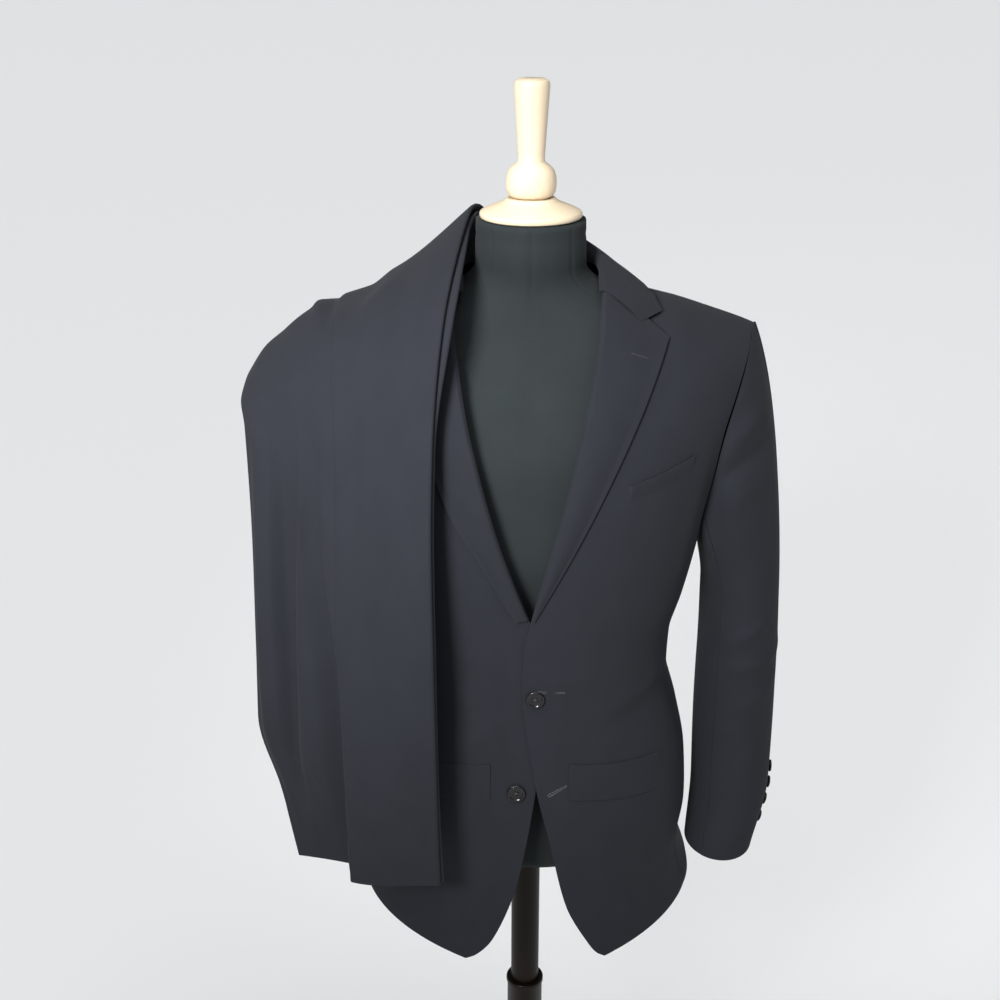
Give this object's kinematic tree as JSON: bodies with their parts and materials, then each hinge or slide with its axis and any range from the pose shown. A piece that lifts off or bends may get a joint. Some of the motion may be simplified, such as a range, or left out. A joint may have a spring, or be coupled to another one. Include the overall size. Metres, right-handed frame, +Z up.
{
  "type": "two-piece suit on dress form",
  "caption": "Single-breasted suit jacket fastened on a limbless dress form with a pole and round base, its trousers folded over the form's right shoulder.",
  "frame": {"origin": "centre of the stand base's underside, on the pole's axis", "axes": "+Z up along the pole, -Y the way the suit faces, +X towards the wearer's left"},
  "size_m": [0.5649, 0.43, 1.6555],
  "materials": {
    "suiting": "matt dark navy worsted wool, fine plain weave",
    "horn_buttons": "polished black horn-effect button",
    "form_cover": "matt black stretched cotton cover",
    "pale_wood": "clear-lacquered turned beech",
    "dark_wood": "dark stained, satin lacquer"
  },
  "bodies": {
    "root": {"back_left": "suiting", "back_pocket_welt": "suiting", "back_right": "suiting", "base": "dark_wood", "belt_loop_1": "suiting", "belt_loop_2": "suiting", "belt_loop_3": "suiting", "breast_welt": "suiting", "button_fastened": "horn_buttons", "button_lower": "horn_buttons", "collar": "suiting", "cuff_button_left_1": "horn_buttons", "cuff_button_left_2": "horn_buttons", "cuff_button_left_3": "horn_buttons", "cuff_button_left_4": "horn_buttons", "cuff_button_right_1": "horn_buttons", "cuff_button_right_2": "horn_buttons", "cuff_button_right_3": "horn_buttons", "cuff_button_right_4": "horn_buttons", "finial": "pale_wood", "form_torso": "form_cover", "front_left": "suiting", "front_right": "suiting", "lapel_left": "suiting", "lapel_right": "suiting", "lower_tube": "dark_wood", "neck_cap": "pale_wood", "pocket_flap_left": "suiting", "pocket_flap_right": "suiting", "pole": "dark_wood", "side_left": "suiting", "side_right": "suiting", "sleeve_top_left": "suiting", "sleeve_top_right": "suiting", "sleeve_under_left": "suiting", "sleeve_under_right": "suiting", "trouser_back_left": "suiting", "trouser_back_right": "suiting", "trouser_front_left": "suiting", "trouser_front_right": "suiting", "waistband_back_left": "suiting", "waistband_back_right": "suiting", "waistband_front_left": "suiting", "waistband_front_right": "suiting"}
  },
  "joints": []
}
